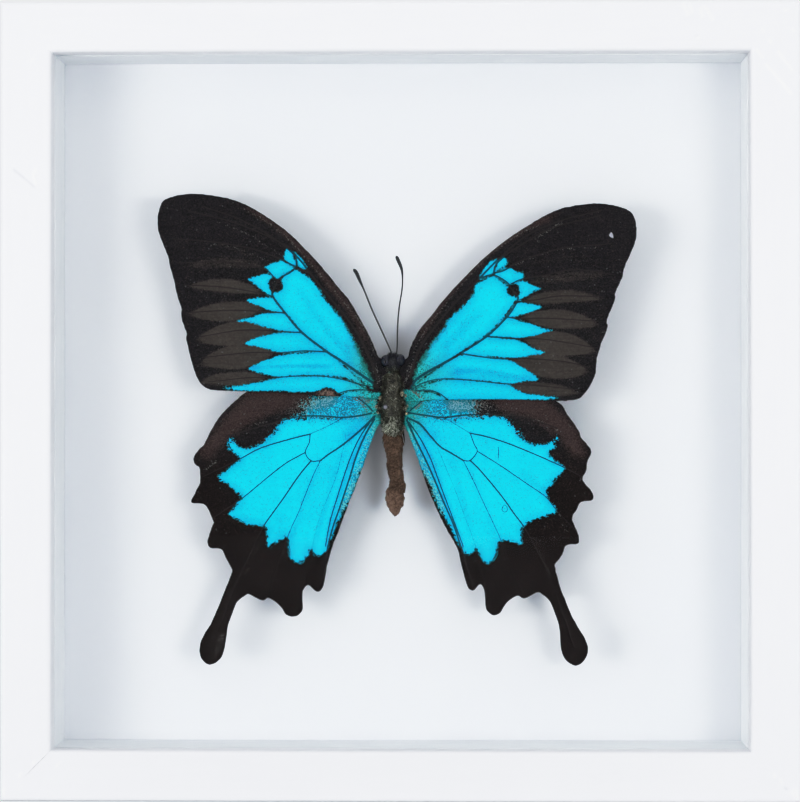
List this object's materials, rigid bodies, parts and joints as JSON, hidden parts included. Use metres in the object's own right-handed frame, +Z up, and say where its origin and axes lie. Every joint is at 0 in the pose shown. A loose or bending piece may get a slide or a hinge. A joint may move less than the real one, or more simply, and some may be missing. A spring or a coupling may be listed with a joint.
{
  "type": "framed butterfly specimen",
  "caption": "Blue and black swallowtail butterfly, spread and pinned on a white board in a shallow square box frame with a glass front.",
  "frame": {"origin": "middle of the frame's footprint, on the surface that it stands on", "axes": "+X to the viewer's right, +Y from the glass front towards the wall behind, +Z up"},
  "size_m": [0.18, 0.034, 0.18],
  "materials": {
    "white_paint": "satin white brush paint",
    "clear_glass": "clear polished",
    "white_card": "matt white",
    "hardboard": "bare brown hardboard",
    "steel": "plain steel",
    "wing_scales": "blue scales with black borders",
    "body_hair": "dark olive hair",
    "dark_horn": "blackish horn",
    "dry_abdomen": "dry brown scales"
  },
  "bodies": {
    "root": {"frame_rail_top": "white_paint", "frame_rail_bottom": "white_paint", "frame_rail_left": "white_paint", "frame_rail_right": "white_paint", "glass_pane": "clear_glass", "spacer_top": "white_card", "spacer_bottom": "white_card", "spacer_left": "white_card", "spacer_right": "white_card", "mount_board": "white_card", "back_panel": "hardboard", "retaining_tab_1": "steel", "retaining_tab_2": "steel", "retaining_tab_3": "steel", "retaining_tab_4": "steel", "retaining_tab_5": "steel", "retaining_tab_6": "steel", "retaining_tab_7": "steel", "retaining_tab_8": "steel", "sawtooth_hanger": "steel", "hanger_nail_left": "steel", "hanger_nail_right": "steel", "specimen_pin": "steel", "forewing_left": "wing_scales", "forewing_right": "wing_scales", "hindwing_left": "wing_scales", "hindwing_right": "wing_scales", "thorax": "body_hair", "head": "dark_horn", "antenna_left": "dark_horn", "antenna_right": "dark_horn", "abdomen": "dry_abdomen"}
  },
  "joints": []
}
